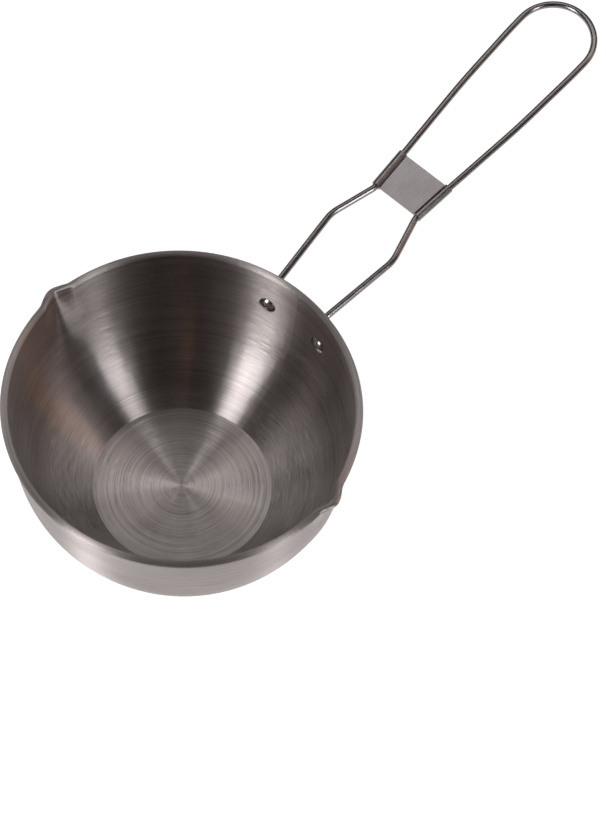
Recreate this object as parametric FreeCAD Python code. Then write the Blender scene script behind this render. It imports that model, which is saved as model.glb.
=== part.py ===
import FreeCAD, Part
import math
import os

from FreeCAD import Vector

# Small pouring pot of brushed stainless steel with a folding bent-wire handle.
# Units are millimetres.  The origin is the centre of the flat underside, +Z is up and
# +X runs out along the handle.  "Depth" is measured down from the middle of the rim bead.

# ---- bowl ----------------------------------------------------------------------------
RIM_RADIUS = 75.0           # outermost edge of the rolled rim
RIM_HEIGHT = 73.3           # middle of the rim bead above the underside
BEAD_HALF_WIDTH = 1.6       # rolled rim, seen as a slightly flattened bead
BEAD_HALF_HEIGHT = 1.2
SHEET = 0.7                 # wall thickness
OVALITY = 0.008             # the mouth is this much wider across the spouts
FLOOR_RADIUS = 38.7         # flat disc inside
WALL_TOP_RADIUS = 73.0      # outside of the wall where it meets the bead
WALL_OUTLINE = [            # outside of the wall below the bead: radius, depth
    (72.3, 12.0),
    (71.5, 24.0),
    (70.05, 34.0),
    (66.7, 44.0),
    (61.3, 54.0),
    (50.9, 64.2),
    (FLOOR_RADIUS + 0.3, RIM_HEIGHT),
]
WALL_STATIONS = 17          # level curves down each skin of the wall
BEAD_STATIONS = 11          # level curves round the bead
ROUND_STEP = 10             # degrees between points of a level curve

# ---- pouring beaks -------------------------------------------------------------------
SPOUT_ANGLES = (88.7, 277.0)  # left and right, from the handle
SPOUT_BEAK = 2.6            # how far the tip stands out of the mouth
SPOUT_HALF_BASE = 8.4       # from the tip to where the beak runs out, along the rim
SPOUT_SHARPNESS = 1.3
SPOUT_CREASE = 1.0          # softness of the fold inside the beak
SPOUT_NOSE = 4.0            # softness of its outer edge
SPOUT_CREASE_GROWTH = 0.2   # the fold softens by this much for each millimetre down
SPOUT_SPREAD = 0.4          # and the beak widens by this part of itself
SPOUT_SHOULDER = 0.4        # wide swelling of the mouth round each beak
SPOUT_SHOULDER_WIDTH = 14.0
SPOUT_FADE_DEPTH = 42.0     # the beak has run out at this depth
SPOUT_FADE_POWER = 1.3
SPOUT_FINE_STEPS = 9        # points one degree apart to each side of the tip
SPOUT_OUTER_STEPS = (11, 14)

# ---- wire handle ---------------------------------------------------------------------
WIRE_RADIUS = 1.5
HANDLE_RISE = 7.68          # degrees above level, as used
HANDLE_DROP = 5.41          # wire centre below the rim bead where it passes the rim
WIRE_END_Y = 1.5            # the two ends stop this far from the middle of the hinge barrel
LEG_Y = 13.0                # where the legs leave the hinge barrel
LEG_LEAN = 0.30             # the short uprights lean in to the wall by this slope
LEG_WIDEST = (112.9, 17.7)  # corners of one leg: distance from the pot's axis, and across
BRACE_KINK_NEAR = (134.2, 11.63)
BRACE_KINK_FAR = (155.8, 13.13)
FLARE = (197.0, 16.6)
LOOP_NECK = 232.0
LOOP_RADIUS = 17.95         # wire centre at the round end
LOOP_CENTRE = 239.5         # distance from the pot's axis along the handle
BEND_RADII = [3.2, 4.0, 16.0, 8.0, 50.0, 400.0, 250.0]  # at the corners in the same order

# ---- cross plate ---------------------------------------------------------------------
BRACE_START = 135.2         # measured along the handle like the wire
BRACE_END = 154.6
BRACE_SHEET = 0.7
BRACE_LEVEL = 0.3           # middle of the flat panel above the wire centres
BRACE_WRAP = 298.0          # degrees of wire that each curl goes round
CRIMP_GAP = 0.03

# ---- hinge bracket and rivets --------------------------------------------------------
HINGE_X = 74.05             # hinge axis, parallel to Y
HINGE_DEPTH = 14.5
HINGE_Z = RIM_HEIGHT - HINGE_DEPTH
HINGE_CLEARANCE = 0.05      # wire in barrel, on the radius
BARREL_HALF_WIDTH = 9.4
BRACKET_SHEET = 0.8
BRACKET_SEAT = 0.08         # gap between bracket and wall
BRACKET_NECK_TOP_DEPTH = 15.0
BRACKET_BOTTOM_DEPTH = 25.2
BRACKET_NECK_FOOT = 2.0     # the neck starts this far above the bottom edge
BRACKET_CORNER = 4.4
BRACKET_INNER_X = 55.0      # blocks that trim the bracket reach from here
BRACKET_REACH = 40.0
LAYER_TOP_DEPTH = 4.0       # band of wall that the bracket's sheet is taken from
LAYER_BOTTOM_DEPTH = 32.0
LAYER_STATIONS = 9
LAYER_SWEEP = 60.0          # degrees
RIVET_Y = 14.6
RIVET_DEPTH = 20.2
RIVET_SHANK_RADIUS = 1.9
RIVET_HEAD_RADIUS = 3.9
RIVET_HEAD_HEIGHT = 1.5
RIVET_HEAD_EDGE = 0.35      # straight edge under the dome
RIVET_TAIL_RADIUS = 3.0
RIVET_TAIL_HEIGHT = 1.3
RIVET_GAP = 0.03
SHANK_GAP = 0.06            # shank in its hole, on the radius
SHANK_OVERLAP = 0.4         # shank into head and tail
HOLE_LENGTH = 10.0


# ---- bowl ----------------------------------------------------------------------------
def bead_depth(radius):
    """Depth of the lower half of the bead at a radius."""
    across = (radius - RIM_RADIUS + BEAD_HALF_WIDTH) / BEAD_HALF_WIDTH
    return BEAD_HALF_HEIGHT * math.sqrt(1 - across ** 2)


def wall_curve():
    """The wall's outside in the radial plane: x is the radius, y is the depth."""
    outline = [(WALL_TOP_RADIUS, bead_depth(WALL_TOP_RADIUS))] + WALL_OUTLINE
    curve = Part.BSplineCurve()
    curve.interpolate([Vector(radius, depth, 0) for radius, depth in outline])
    return curve


def wall_point(curve, fraction, offset):
    """Radius and depth on the wall curve, moved outwards by offset along its normal."""
    parameter = curve.FirstParameter + fraction * (curve.LastParameter - curve.FirstParameter)
    point = curve.value(parameter)
    along = curve.tangent(parameter)[0]
    return point.x + along.y * offset, point.y - along.x * offset


def wall_fraction(curve, depth):
    """How far down the wall curve a depth lies."""
    low, high = 0.0, 1.0
    for _ in range(40):
        middle = (low + high) / 2
        if wall_point(curve, middle, 0.0)[1] < depth:
            low = middle
        else:
            high = middle
    return low


def wall_stations(offset):
    """Points down the wall, at even steps along its curve."""
    curve = wall_curve()
    return [wall_point(curve, step / (WALL_STATIONS - 1), offset) for step in range(WALL_STATIONS)]


def wall_top_inside():
    """Where the inner skin meets the bead."""
    radius = WALL_TOP_RADIUS - SHEET
    return radius, bead_depth(radius)


def bead_stations():
    """Points round the bead, from the inside of the wall over the top to its outside."""
    middle = RIM_RADIUS - BEAD_HALF_WIDTH
    inside = (wall_top_inside()[0] - middle) / BEAD_HALF_WIDTH
    outside = (WALL_TOP_RADIUS - middle) / BEAD_HALF_WIDTH
    first = 2 * math.pi - math.acos(inside)
    last = -math.acos(outside)
    stations = []
    for step in range(BEAD_STATIONS):
        angle = first + (last - first) * step / (BEAD_STATIONS - 1)
        radius = middle + BEAD_HALF_WIDTH * math.cos(angle)
        stations.append((radius, -BEAD_HALF_HEIGHT * math.sin(angle)))
    return stations


def section_angles():
    """Angles round the mouth, closer together where the spouts are."""
    clear = SPOUT_OUTER_STEPS[-1] + 3
    angles = []
    for angle in range(0, 360, ROUND_STEP):
        if all(abs(angle - centre) > clear for centre in SPOUT_ANGLES):
            angles.append(float(angle))
    fine = list(range(-SPOUT_FINE_STEPS, SPOUT_FINE_STEPS + 1))
    outer = [side * step for side in (-1, 1) for step in SPOUT_OUTER_STEPS]
    for centre in SPOUT_ANGLES:
        angles += [centre + step for step in fine + outer]
    return sorted(angles)


def spout_bulge(angle, radius, depth):
    """How far the two pressed beaks push the round wall out."""
    if depth >= SPOUT_FADE_DEPTH:
        return 0.0
    down = max(depth, 0.0) / SPOUT_FADE_DEPTH
    half_base = SPOUT_HALF_BASE * (1 + SPOUT_SPREAD * down)
    outwards = (radius - wall_top_inside()[0]) / (RIM_RADIUS - wall_top_inside()[0])
    softness = SPOUT_CREASE + (SPOUT_NOSE - SPOUT_CREASE) * max(outwards, 0.0)
    softness += SPOUT_CREASE_GROWTH * max(depth, 0.0)
    run_out = math.hypot(half_base, softness) - softness
    bulge = 0.0
    for centre in SPOUT_ANGLES:
        across = math.radians(angle - centre) * radius
        fall = (math.hypot(across, softness) - softness) / run_out
        bulge += SPOUT_BEAK * max(1 - fall, 0.0) ** SPOUT_SHARPNESS
        bulge += SPOUT_SHOULDER * math.exp(-(across / SPOUT_SHOULDER_WIDTH) ** 2)
    return bulge * (1 - down) ** SPOUT_FADE_POWER


def section_wire(radius, depth):
    """Level closed curve round the bowl."""
    points = []
    angles = section_angles()
    for angle in angles:
        turn = math.radians(angle)
        reach = radius * (1 - OVALITY * math.cos(2 * turn)) + spout_bulge(angle, radius, depth)
        points.append(Vector(reach * math.cos(turn), reach * math.sin(turn), RIM_HEIGHT - depth))
    curve = Part.BSplineCurve()
    curve.interpolate(Points=points, PeriodicFlag=True, Parameters=angles + [angles[0] + 360.0])
    return Part.Wire([curve.toShape()])


def skin(stations):
    """Smooth faces through level curves at the given radii and depths."""
    return Part.makeLoft([section_wire(radius, depth) for radius, depth in stations], False, False).Faces


def make_pot_body():
    """Pressed bowl with its rolled rim: inner skin, bead, outer skin, floor and underside."""
    floor_edge = (FLOOR_RADIUS, RIM_HEIGHT - SHEET)
    inside = [wall_top_inside()] + wall_stations(-SHEET)[1:-1] + [floor_edge]
    outside = wall_stations(0.0)
    faces = skin(inside) + skin(bead_stations()) + skin(outside)
    faces.append(Part.Face(section_wire(*floor_edge)))
    faces.append(Part.Face(section_wire(*outside[-1])))
    shell = Part.makeShell(faces)
    shell.sewShape()
    body = Part.makeSolid(shell)
    if body.Volume < 0:
        body.reverse()
    for side in (-1, 1):
        body = body.cut(rivet_hole(side))
    return body


def wall_frame_at_rivet(side):
    """Where a rivet goes through the wall: outside point and outward normal."""
    curve = wall_curve()
    fraction = wall_fraction(curve, RIVET_DEPTH)
    radius, depth = wall_point(curve, fraction, 0.0)
    out_radius, out_depth = wall_point(curve, fraction, 1.0)
    slope = math.atan2(out_depth - depth, out_radius - radius)
    radius *= 1 - OVALITY
    turn = math.asin(side * RIVET_Y / radius)
    level = math.cos(slope)
    normal = Vector(level * math.cos(turn), level * math.sin(turn), -math.sin(slope))
    return Vector(radius * math.cos(turn), radius * math.sin(turn), RIM_HEIGHT - depth), normal


def rivet_hole(side):
    point, normal = wall_frame_at_rivet(side)
    start = point - normal * (HOLE_LENGTH / 2)
    return Part.makeCylinder(RIVET_SHANK_RADIUS + SHANK_GAP, HOLE_LENGTH, start, normal)


# ---- wire handle ---------------------------------------------------------------------
def handle_point(along, across):
    """Point in the tilted plane of the handle; along is from the pot's axis."""
    rise = math.radians(HANDLE_RISE)
    reach = along - RIM_RADIUS
    height = RIM_HEIGHT - HANDLE_DROP + reach * math.sin(rise)
    return Vector(RIM_RADIUS + reach * math.cos(rise), across, height)


def rounded_path(points, radii):
    """Edges of straight runs joined by tangent arcs; the ends have no radius."""
    edges = []
    last = points[0]
    for index in range(1, len(points) - 1):
        corner = points[index]
        back = (points[index - 1] - corner).normalize()
        forth = (points[index + 1] - corner).normalize()
        half_turn = (math.pi - back.getAngle(forth)) / 2
        tangent = radii[index - 1] * math.tan(half_turn)
        middle = (back + forth).normalize()
        depth = radii[index - 1] / math.cos(half_turn) - radii[index - 1]
        enter = corner + back * tangent
        leave = corner + forth * tangent
        edges.append(Part.LineSegment(last, enter).toShape())
        edges.append(Part.Arc(enter, corner + middle * depth, leave).toShape())
        last = leave
    edges.append(Part.LineSegment(last, points[-1]).toShape())
    return edges


def leg_corners(side):
    """Corners of one leg, from inside the hinge barrel up and out to the round end."""
    rise = math.tan(math.radians(HANDLE_RISE))
    plane_above_hinge = RIM_HEIGHT - HANDLE_DROP - HINGE_Z - (RIM_RADIUS - HINGE_X) * rise
    top = plane_above_hinge / (1 + LEG_LEAN * rise)
    corners = [
        Vector(HINGE_X, side * WIRE_END_Y, HINGE_Z),
        Vector(HINGE_X, side * LEG_Y, HINGE_Z),
        Vector(HINGE_X - LEG_LEAN * top, side * LEG_Y, HINGE_Z + top),
    ]
    for along, across in (LEG_WIDEST, BRACE_KINK_NEAR, BRACE_KINK_FAR, FLARE):
        corners.append(handle_point(along, side * across))
    for along in (LOOP_NECK, LOOP_CENTRE):
        corners.append(handle_point(along, side * LOOP_RADIUS))
    return corners


def make_handle_wire():
    """One wire: up out of one end of the barrel, round the loop and back to the other end."""
    legs = []
    for side in (-1, 1):
        legs += rounded_path(leg_corners(side), BEND_RADII)
    loop = Part.Arc(handle_point(LOOP_CENTRE, LOOP_RADIUS), handle_point(LOOP_CENTRE + LOOP_RADIUS, 0),
                    handle_point(LOOP_CENTRE, -LOOP_RADIUS)).toShape()
    path = Part.Wire(Part.sortEdges(legs + [loop])[0])
    start = path.OrderedVertexes[0].Point
    ring = Part.Wire([Part.Circle(start, Vector(0, 1, 0), WIRE_RADIUS).toShape()])
    wire = path.makePipeShell([ring], True, True)
    section = math.pi * WIRE_RADIUS ** 2
    print("handle wire: volume over section x length = %.4f" % (wire.Volume / (section * path.Length)))
    return wire


# ---- cross plate ---------------------------------------------------------------------
def wire_across(along):
    """Distance of the wire centre from the middle, between the brace's ends."""
    near, far = BRACE_KINK_NEAR, BRACE_KINK_FAR
    return near[1] + (far[1] - near[1]) * (along - near[0]) / (far[0] - near[0])


def curl(start, along, inward, up, inner, outer, length):
    """Part of a tube round the wire, from the panel over the top, outside and under."""
    def ring_point(radius, angle):
        return start + inward * (radius * math.cos(angle)) + up * (radius * math.sin(angle))

    first = math.asin(BRACE_LEVEL / inner)
    last = first + math.radians(BRACE_WRAP)
    middle = (first + last) / 2
    edges = [
        Part.Arc(ring_point(outer, first), ring_point(outer, middle), ring_point(outer, last)).toShape(),
        Part.LineSegment(ring_point(outer, last), ring_point(inner, last)).toShape(),
        Part.Arc(ring_point(inner, last), ring_point(inner, middle), ring_point(inner, first)).toShape(),
        Part.LineSegment(ring_point(inner, first), ring_point(outer, first)).toShape(),
    ]
    return Part.Face(Part.Wire(edges)).extrude(along * length)


def make_handle_brace():
    """Cross plate whose two edges are curled round the wires and crimped."""
    inner = WIRE_RADIUS + CRIMP_GAP
    outer = inner + BRACE_SHEET
    rise = math.radians(HANDLE_RISE)
    up = Vector(-math.sin(rise), 0, math.cos(rise))
    curls = []
    for side in (-1, 1):
        start = handle_point(BRACE_START, side * wire_across(BRACE_START))
        end = handle_point(BRACE_END, side * wire_across(BRACE_END))
        along = (end - start).normalize()
        inward = up.cross(along) * side
        curls.append(curl(start, along, inward, up, inner, outer, (end - start).Length))
    low = BRACE_LEVEL - BRACE_SHEET / 2
    reach = (inner + outer) / 2
    corners = []
    for along, side in ((BRACE_START, -1), (BRACE_START, 1), (BRACE_END, 1), (BRACE_END, -1)):
        across = side * (wire_across(along) - reach)
        corners.append(handle_point(along, across) + up * low)
    face = Part.Face(Part.makePolygon(corners + corners[:1]))
    panel = face.extrude(up * BRACE_SHEET)
    return panel.fuse(curls).removeSplitter().Solids[0]


# ---- hinge bracket and rivets --------------------------------------------------------
def wall_layer(inner_offset, outer_offset):
    """Ring that follows the wall near the handle, between two offsets from its outside."""
    curve = wall_curve()
    top = wall_fraction(curve, LAYER_TOP_DEPTH)
    span = wall_fraction(curve, LAYER_BOTTOM_DEPTH) - top
    rows = []
    for offset in (inner_offset, outer_offset):
        points = []
        for step in range(LAYER_STATIONS):
            radius, depth = wall_point(curve, top + span * step / (LAYER_STATIONS - 1), offset)
            points.append(Vector(radius * (1 - OVALITY), 0, RIM_HEIGHT - depth))
        rows.append(points)
    edges = []
    for points in rows:
        spline = Part.BSplineCurve()
        spline.interpolate(points)
        edges.append(spline.toShape())
    edges.append(Part.LineSegment(rows[0][-1], rows[1][-1]).toShape())
    edges.append(Part.LineSegment(rows[1][0], rows[0][0]).toShape())
    face = Part.Face(Part.Wire(Part.sortEdges(edges)[0]))
    ring = face.revolve(Vector(0, 0, 0), Vector(0, 0, 1), LAYER_SWEEP)
    ring.rotate(Vector(0, 0, 0), Vector(0, 0, 1), -LAYER_SWEEP / 2)
    return ring


def trimming_block(half_width, bottom, top):
    """Block across the handle side that limits the bracket's outline."""
    corner = Vector(BRACKET_INNER_X, -half_width, bottom)
    return Part.makeBox(BRACKET_REACH, 2 * half_width, top - bottom, corner)


def make_handle_bracket():
    """Plate on the outside of the wall, with a barrel rolled along its top."""
    layer = wall_layer(BRACKET_SEAT, BRACKET_SEAT + BRACKET_SHEET)
    bottom = RIM_HEIGHT - BRACKET_BOTTOM_DEPTH
    ears = trimming_block(RIVET_Y + BRACKET_CORNER, bottom, RIM_HEIGHT - RIVET_DEPTH + BRACKET_CORNER)
    lengthways = [edge for edge in ears.Edges if abs(edge.tangentAt(edge.FirstParameter).x) > 0.99]
    ears = ears.makeFillet(BRACKET_CORNER, lengthways)
    neck_top = RIM_HEIGHT - BRACKET_NECK_TOP_DEPTH
    neck = trimming_block(BARREL_HALF_WIDTH, bottom + BRACKET_NECK_FOOT, neck_top)
    plate = layer.common(ears.fuse(neck))
    across = Vector(0, 1, 0)
    end = Vector(HINGE_X, -BARREL_HALF_WIDTH, HINGE_Z)
    bore_radius = WIRE_RADIUS + HINGE_CLEARANCE
    barrel = Part.makeCylinder(bore_radius + BRACKET_SHEET, 2 * BARREL_HALF_WIDTH, end, across)
    bore = Part.makeCylinder(bore_radius, 4 * BARREL_HALF_WIDTH, end - across * BARREL_HALF_WIDTH, across)
    bracket = plate.fuse(barrel).cut(bore).cut(wall_layer(-SHEET, BRACKET_SEAT))
    for side in (-1, 1):
        bracket = bracket.cut(rivet_hole(side))
    return bracket


def dome(base_radius, height):
    """Low dome standing on z = 0."""
    sphere_radius = (base_radius ** 2 + height ** 2) / (2 * height)
    ball = Part.makeSphere(sphere_radius, Vector(0, 0, height - sphere_radius))
    return ball.common(Part.makeCylinder(2 * base_radius, 2 * height))


def make_rivet(side):
    """Domed head inside the bowl, shank through wall and bracket, set tail outside."""
    point, normal = wall_frame_at_rivet(side)
    hollow_of_wall = RIVET_HEAD_RADIUS ** 2 / (2 * (math.hypot(point.x, point.y) - SHEET))
    grip_out = BRACKET_SEAT + BRACKET_SHEET + RIVET_GAP
    grip_in = SHEET + hollow_of_wall + RIVET_GAP
    shank_length = grip_in + grip_out + 2 * SHANK_OVERLAP
    shank = Part.makeCylinder(RIVET_SHANK_RADIUS, shank_length, Vector(0, 0, -grip_in - SHANK_OVERLAP))
    edge = Part.makeCylinder(RIVET_HEAD_RADIUS, RIVET_HEAD_EDGE, Vector(0, 0, -RIVET_HEAD_EDGE))
    head = dome(RIVET_HEAD_RADIUS, RIVET_HEAD_HEIGHT).fuse(edge)
    head.rotate(Vector(0, 0, 0), Vector(1, 0, 0), 180)
    head.translate(Vector(0, 0, -grip_in - RIVET_HEAD_EDGE))
    tail = dome(RIVET_TAIL_RADIUS, RIVET_TAIL_HEIGHT)
    tail.translate(Vector(0, 0, grip_out))
    rivet = shank.fuse([head, tail]).removeSplitter()
    rivet.Placement = FreeCAD.Placement(point, FreeCAD.Rotation(Vector(0, 0, 1), normal))
    return rivet


# ---- write one file per piece ----------------------------------------------------------
def main():
    os.makedirs("parts", exist_ok=True)
    nodes = {
        "pot_body": make_pot_body(),
        "handle_bracket": make_handle_bracket(),
        "rivet_left": make_rivet(1),
        "rivet_right": make_rivet(-1),
        "handle_wire": make_handle_wire(),
        "handle_brace": make_handle_brace(),
    }
    for name, shape in nodes.items():
        box = shape.BoundBox
        print("%-15s solids %d valid %s volume %8.1f  x %.1f %.1f  y %.1f %.1f  z %.1f %.1f" % (
            name, len(shape.Solids), shape.isValid(), shape.Volume,
            box.XMin, box.XMax, box.YMin, box.YMax, box.ZMin, box.ZMax))
        shape.exportStep("parts/%s.step" % name)


main()
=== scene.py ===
import math

import bpy
from mathutils import Matrix, Vector

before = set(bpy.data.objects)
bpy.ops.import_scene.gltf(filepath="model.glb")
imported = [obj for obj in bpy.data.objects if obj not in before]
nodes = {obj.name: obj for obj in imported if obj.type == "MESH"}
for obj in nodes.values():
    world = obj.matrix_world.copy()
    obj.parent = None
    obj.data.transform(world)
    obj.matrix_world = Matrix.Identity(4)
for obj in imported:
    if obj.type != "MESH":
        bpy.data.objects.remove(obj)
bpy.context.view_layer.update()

# ---- bowl finish ---------------------------------------------------------------------
# Each layer is noise drawn out round the axis. per_metre is how fast it changes down the
# wall, spread how fast it changes round it, and shift keeps the layers from lining up.
RINGS = {"per_metre": 2300.0, "spread": 0.5, "detail": 1.0, "shift": 0.0}
FINE_LINES = {"per_metre": 4800.0, "spread": 1.2, "detail": 2.0, "shift": 7.0}
BRUSHING = {"per_metre": 21000.0, "spread": 9.0, "detail": 0.0, "shift": 5.0}
SMEARS = {"per_metre": 45.0, "spread": 1.6, "detail": 2.0, "shift": 11.0}
LAYER_NOISE_ROUGHNESS = 0.55
RING_SHARE = 0.7
TINT_LINE_SHARE = 0.7

AXIS_RADIUS = 0.0005
RIM_BLEND_LOW = 0.0718
RIM_BLEND_HIGH = 0.0724
RIM_TILT_LOSS = 0.8
RIM_ROUGHNESS = 0.16

BRUSH_TILT = 1.35
RING_TILT = 0.45
BOWL_ROUGHNESS = 0.33
LINE_ROUGHNESS = 0.06
SMEAR_ROUGHNESS = 0.05
MEAN_LAYER_ROUGHNESS = 0.055
BOWL_ANISOTROPY = 1.0
QUARTER_TURN = 0.25
BOWL_MIDDLE = (0.398, 0.356, 0.344)
BOWL_TINTS = ((0.33, (0.278, 0.240, 0.230)), (0.50, BOWL_MIDDLE), (0.67, (0.500, 0.460, 0.450)))
NOISE_MEAN = 0.5

# ---- plain metals --------------------------------------------------------------------
# grain is noise steps per metre along x, y and z, relief the depth of the grain in metres
# and contrast the change of colour either way.
WIRE = {"colour": (0.26, 0.242, 0.240), "roughness": 0.22, "grain": (60.0, 500.0, 500.0),
        "relief": 0.000001, "contrast": 0.08}
BRACE = {"colour": (0.29, 0.270, 0.267), "roughness": 0.30, "grain": (110.0, 1500.0, 1500.0),
         "relief": 0.000006, "contrast": 0.20}
BRACKET = {"colour": (0.42, 0.39, 0.38), "roughness": 0.32, "grain": (1500.0, 110.0, 1500.0),
           "relief": 0.000006, "contrast": 0.12}
RIVET = {"colour": (0.55, 0.52, 0.51), "roughness": 0.18, "grain": (700.0, 700.0, 700.0),
         "relief": 0.000002, "contrast": 0.12}
WEAR_SCALE = 120.0
GRAIN_DETAIL = 3.0
GRAIN_NOISE_ROUGHNESS = 0.6
GRAIN_ROUGHNESS = 0.10
GRAIN_DARK_STOP = 0.35
GRAIN_LIGHT_STOP = 0.65
BUMP_STRENGTH = 0.5

# ---- floor, light and camera ---------------------------------------------------------
FLOOR_HALF = 3.0
FLOOR_ALBEDO = (0.25, 0.25, 0.25)
FLOOR_ROUGHNESS = 0.9
FLOOR_GLOW = 0.92

WHITE = (1.0, 1.0, 1.0)
COOL = (0.97, 0.98, 1.0)
PALE_WARM = (1.0, 0.90, 0.84)
ORANGE = (1.0, 0.50, 0.25)
WORLD_COLOUR = (0.036, 0.030, 0.029, 1.0)
LIGHT_DISTANCE = 1.2
LIGHT_TARGET = Vector((0.0, 0.0, 0.04))
# name, azimuth from +X towards +Y, elevation, half width and half height it covers (all in
# degrees), radiance, colour
SOFTBOXES = (
    ("right_key", 173, 32, 8.5, 19, 11.0, COOL),
    ("left_key", 271, 34, 7.5, 20, 6.0, COOL),
    ("left_edge", 103, 54, 8, 13, 1.8, WHITE),
    ("floor_left", 78, 50, 10, 10, 1.8, WHITE),
    ("floor_right", -1, 50, 10, 10, 1.8, WHITE),
    ("back_fill", 40, 58, 16, 12, 1.6, WHITE),
    ("right_edge", 335, 50, 12, 15, 1.1, PALE_WARM),
    ("warm_fill", 318, 27, 6, 12, 1.4, ORANGE),
    ("warm_speck", 218, 30, 2.5, 10, 0.5, ORANGE),
)

LENS_MM = 130.6
SENSOR_MM = 36.0
CAMERA_PLACE = Vector((-0.43795, -0.41297, 1.15946))
CAMERA_RIGHT = Vector((0.66897, -0.74253, 0.03352))
CAMERA_UP = Vector((0.63994, 0.59830, 0.48220))
CLIP_NEAR = 0.05
CLIP_FAR = 20.0

scene = bpy.context.scene


class Shader:
    """A material's node tree, with short calls for the few kinds of node used here."""

    def __init__(self, name, colour, roughness, metallic=1.0, anisotropic=0.0, rotation=0.0):
        self.material = bpy.data.materials.new(name)
        self.material.use_nodes = True
        self.tree = self.material.node_tree
        self.surface = self.tree.nodes["Principled BSDF"]
        self.surface.inputs["Base Color"].default_value = (*colour, 1.0)
        self.surface.inputs["Metallic"].default_value = metallic
        self.surface.inputs["Roughness"].default_value = roughness
        self.surface.inputs["Anisotropic"].default_value = anisotropic
        self.surface.inputs["Anisotropic Rotation"].default_value = rotation

    def node(self, kind, **settings):
        made = self.tree.nodes.new("ShaderNode" + kind)
        for key, value in settings.items():
            setattr(made, key, value)
        return made

    def link(self, source, target):
        self.tree.links.new(source, target)

    def feed(self, name, source):
        """Drive one of the surface's own sockets."""
        self.link(source, self.surface.inputs[name])

    def maths(self, operation, *values):
        made = self.node("Math", operation=operation)
        for socket, value in zip(made.inputs, values):
            if isinstance(value, (int, float)):
                socket.default_value = value
            else:
                self.link(value, socket)
        return made.outputs[0]

    def add(self, first, second):
        return self.maths("ADD", first, second)

    def times(self, first, second):
        return self.maths("MULTIPLY", first, second)

    def less(self, first, second):
        return self.maths("SUBTRACT", first, second)

    def noise(self, vector, scale, detail, roughness):
        made = self.node("TexNoise")
        made.inputs["Scale"].default_value = scale
        made.inputs["Detail"].default_value = detail
        made.inputs["Roughness"].default_value = roughness
        self.link(vector, made.inputs["Vector"])
        return made.outputs["Fac"]

    def ramp(self, factor, stops):
        made = self.node("ValToRGB")
        ramp = made.color_ramp
        while len(ramp.elements) < len(stops):
            ramp.elements.new(0.5)
        for element, (position, colour) in zip(ramp.elements, stops):
            element.position = position
            element.color = (*colour, 1.0)
        self.link(factor, made.inputs["Fac"])
        return made.outputs["Color"]

    def bump(self, height, strength, distance):
        made = self.node("Bump")
        made.inputs["Strength"].default_value = strength
        made.inputs["Distance"].default_value = distance
        self.link(height, made.inputs["Height"])
        return made.outputs["Normal"]


def turned_coordinates(shader):
    """Height, distance along the wall, and the direction from the pot's axis."""
    split = shader.node("SeparateXYZ")
    shader.link(shader.node("TexCoord").outputs["Object"], split.inputs[0])
    x, y, height = split.outputs
    radius = shader.maths("SQRT", shader.add(shader.times(x, x), shader.times(y, y)))
    safe = shader.maths("MAXIMUM", radius, AXIS_RADIUS)
    unit_x = shader.maths("DIVIDE", x, safe)
    unit_y = shader.maths("DIVIDE", y, safe)
    return height, shader.add(radius, height), unit_x, unit_y


def layer_noise(shader, along, unit_x, unit_y, layer):
    """One of the bowl's layers of noise, drawn out round the axis."""
    join = shader.node("CombineXYZ")
    shader.link(shader.add(shader.times(unit_x, layer["spread"]), layer["shift"]), join.inputs[0])
    shader.link(shader.times(unit_y, layer["spread"]), join.inputs[1])
    shader.link(shader.times(along, layer["per_metre"]), join.inputs[2])
    return shader.noise(join.outputs[0], 1.0, layer["detail"], LAYER_NOISE_ROUGHNESS)


def tilted_normal(shader, unit_x, unit_y, tilt):
    """Surface normal leaned up or down the wall, as the sides of turned grooves are."""
    normal = shader.node("NewGeometry").outputs["Normal"]
    round_axis = shader.node("CombineXYZ")
    shader.link(shader.times(unit_y, -1.0), round_axis.inputs[0])
    shader.link(unit_x, round_axis.inputs[1])
    down_wall = shader.node("VectorMath", operation="CROSS_PRODUCT")
    shader.link(normal, down_wall.inputs[0])
    shader.link(round_axis.outputs[0], down_wall.inputs[1])
    lean = shader.node("VectorMath", operation="SCALE")
    shader.link(down_wall.outputs[0], lean.inputs[0])
    shader.link(tilt, lean.inputs["Scale"])
    total = shader.node("VectorMath", operation="ADD")
    shader.link(normal, total.inputs[0])
    shader.link(lean.outputs[0], total.inputs[1])
    unit = shader.node("VectorMath", operation="NORMALIZE")
    shader.link(total.outputs[0], unit.inputs[0])
    return unit.outputs[0]


def rim_share(shader, height):
    """0 on the wall and 1 on the rolled rim, with a short blend between."""
    made = shader.node("MapRange", interpolation_type="SMOOTHSTEP")
    shader.link(height, made.inputs["Value"])
    made.inputs["From Min"].default_value = RIM_BLEND_LOW
    made.inputs["From Max"].default_value = RIM_BLEND_HIGH
    made.inputs["To Min"].default_value = 0.0
    made.inputs["To Max"].default_value = 1.0
    return made.outputs[0]


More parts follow.
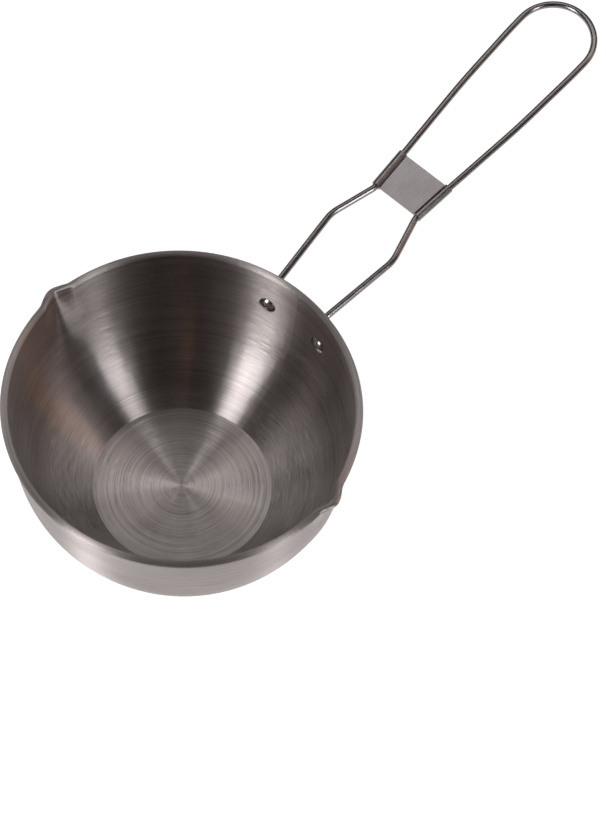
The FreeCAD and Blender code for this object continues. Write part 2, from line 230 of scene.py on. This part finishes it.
def brushed_bowl():
    """Stainless sheet turned and brushed round the axis, with soft smears and a plainer rim."""
    shader = Shader("bowl_brushed_steel", BOWL_MIDDLE, BOWL_ROUGHNESS,
                    anisotropic=BOWL_ANISOTROPY, rotation=QUARTER_TURN)
    height, along, unit_x, unit_y = turned_coordinates(shader)
    rings, fine, brush, smears = (layer_noise(shader, along, unit_x, unit_y, layer)
                                  for layer in (RINGS, FINE_LINES, BRUSHING, SMEARS))
    lines = shader.add(shader.times(rings, RING_SHARE), shader.times(fine, 1.0 - RING_SHARE))
    on_rim = rim_share(shader, height)

    brush_tilt = shader.times(shader.less(brush, NOISE_MEAN), BRUSH_TILT)
    ring_tilt = shader.times(shader.less(lines, NOISE_MEAN), RING_TILT)
    kept_tilt = shader.less(1.0, shader.times(on_rim, RIM_TILT_LOSS))
    tilt = shader.times(shader.add(brush_tilt, ring_tilt), kept_tilt)
    shader.feed("Normal", tilted_normal(shader, unit_x, unit_y, tilt))

    rough = shader.add(shader.times(lines, LINE_ROUGHNESS), shader.times(smears, SMEAR_ROUGHNESS))
    rough = shader.add(rough, BOWL_ROUGHNESS - MEAN_LAYER_ROUGHNESS)
    shader.feed("Roughness", shader.add(rough, shader.times(on_rim, RIM_ROUGHNESS)))

    mix = shader.add(shader.times(lines, TINT_LINE_SHARE),
                     shader.times(smears, 1.0 - TINT_LINE_SHARE))
    shader.feed("Base Color", shader.ramp(mix, BOWL_TINTS))
    shader.feed("Tangent", shader.node("Tangent", direction_type="RADIAL", axis="Z").outputs[0])
    return shader.material


def plain_metal(name, colour, roughness, grain, relief, contrast):
    """Metal with a grain drawn out along one axis, faint wear and a slight colour change."""
    shader = Shader(name, colour, roughness)
    place = shader.node("TexCoord").outputs["Object"]
    stretch = shader.node("Mapping")
    stretch.inputs["Scale"].default_value = grain
    shader.link(place, stretch.inputs["Vector"])
    lines = shader.noise(stretch.outputs[0], 1.0, GRAIN_DETAIL, GRAIN_NOISE_ROUGHNESS)
    wear = shader.noise(place, WEAR_SCALE, GRAIN_DETAIL, GRAIN_NOISE_ROUGHNESS)
    rough = shader.add(shader.times(lines, GRAIN_ROUGHNESS), shader.times(wear, GRAIN_ROUGHNESS))
    shader.feed("Roughness", shader.add(rough, roughness - GRAIN_ROUGHNESS))
    shader.feed("Normal", shader.bump(lines, BUMP_STRENGTH, relief))
    low = tuple((1 - contrast) * channel for channel in colour)
    high = tuple((1 + contrast) * channel for channel in colour)
    both = shader.times(shader.add(lines, wear), 0.5)
    tints = ((GRAIN_DARK_STOP, low), (GRAIN_LIGHT_STOP, high))
    shader.feed("Base Color", shader.ramp(both, tints))
    return shader.material


def paint(node, material):
    for slot in nodes[node].material_slots:
        slot.material = material


def make_floor():
    half = FLOOR_HALF
    corners = [(-half, -half, 0), (half, -half, 0), (half, half, 0), (-half, half, 0)]
    mesh = bpy.data.meshes.new("studio_floor")
    mesh.from_pydata(corners, [], [(0, 1, 2, 3)])
    floor = bpy.data.objects.new("studio_floor", mesh)
    scene.collection.objects.link(floor)
    shader = Shader("studio_floor", FLOOR_ALBEDO, FLOOR_ROUGHNESS, metallic=0.0)
    shader.surface.inputs["Emission Color"].default_value = (*WHITE, 1.0)
    shader.surface.inputs["Emission Strength"].default_value = FLOOR_GLOW
    mesh.materials.append(shader.material)


def soft_light(name, azimuth, elevation, half_width, half_height, radiance, colour):
    """Softbox facing the pot, sized by the half angles it covers."""
    turn, lift = math.radians(azimuth), math.radians(elevation)
    data = bpy.data.lights.new(name, "AREA")
    data.shape = "RECTANGLE"
    data.size = 2 * LIGHT_DISTANCE * math.cos(lift) * math.tan(math.radians(half_width))
    data.size_y = 2 * LIGHT_DISTANCE * math.tan(math.radians(half_height))
    data.energy = math.pi * data.size * data.size_y * radiance
    data.color = colour
    lamp = bpy.data.objects.new(name, data)
    scene.collection.objects.link(lamp)
    outward = Vector((math.cos(lift) * math.cos(turn), math.cos(lift) * math.sin(turn),
                      math.sin(lift)))
    lamp.location = LIGHT_TARGET + LIGHT_DISTANCE * outward
    lamp.rotation_mode = "QUATERNION"
    lamp.rotation_quaternion = outward.to_track_quat("Z", "Y")


def make_world():
    world = bpy.data.worlds.new("studio")
    world.use_nodes = True
    world.node_tree.nodes["Background"].inputs["Color"].default_value = WORLD_COLOUR
    scene.world = world


def make_camera():
    """The viewpoint: a long lens, high above and to the side away from the handle."""
    data = bpy.data.cameras.new("view")
    data.lens = LENS_MM
    data.sensor_width = SENSOR_MM
    data.clip_start, data.clip_end = CLIP_NEAR, CLIP_FAR
    camera = bpy.data.objects.new("view", data)
    scene.collection.objects.link(camera)
    axes = Matrix((CAMERA_RIGHT, CAMERA_UP, CAMERA_RIGHT.cross(CAMERA_UP))).transposed()
    camera.matrix_world = Matrix.Translation(CAMERA_PLACE) @ axes.to_4x4()
    scene.camera = camera


paint("pot_body", brushed_bowl())
paint("handle_wire", plain_metal("drawn_wire", **WIRE))
paint("handle_brace", plain_metal("brace_steel", **BRACE))
paint("handle_bracket", plain_metal("bracket_steel", **BRACKET))
rivet_metal = plain_metal("rivet_steel", **RIVET)
for rivet in ("rivet_left", "rivet_right"):
    paint(rivet, rivet_metal)

make_floor()
for softbox in SOFTBOXES:
    soft_light(*softbox)
make_world()
scene.view_settings.view_transform = "Standard"
make_camera()
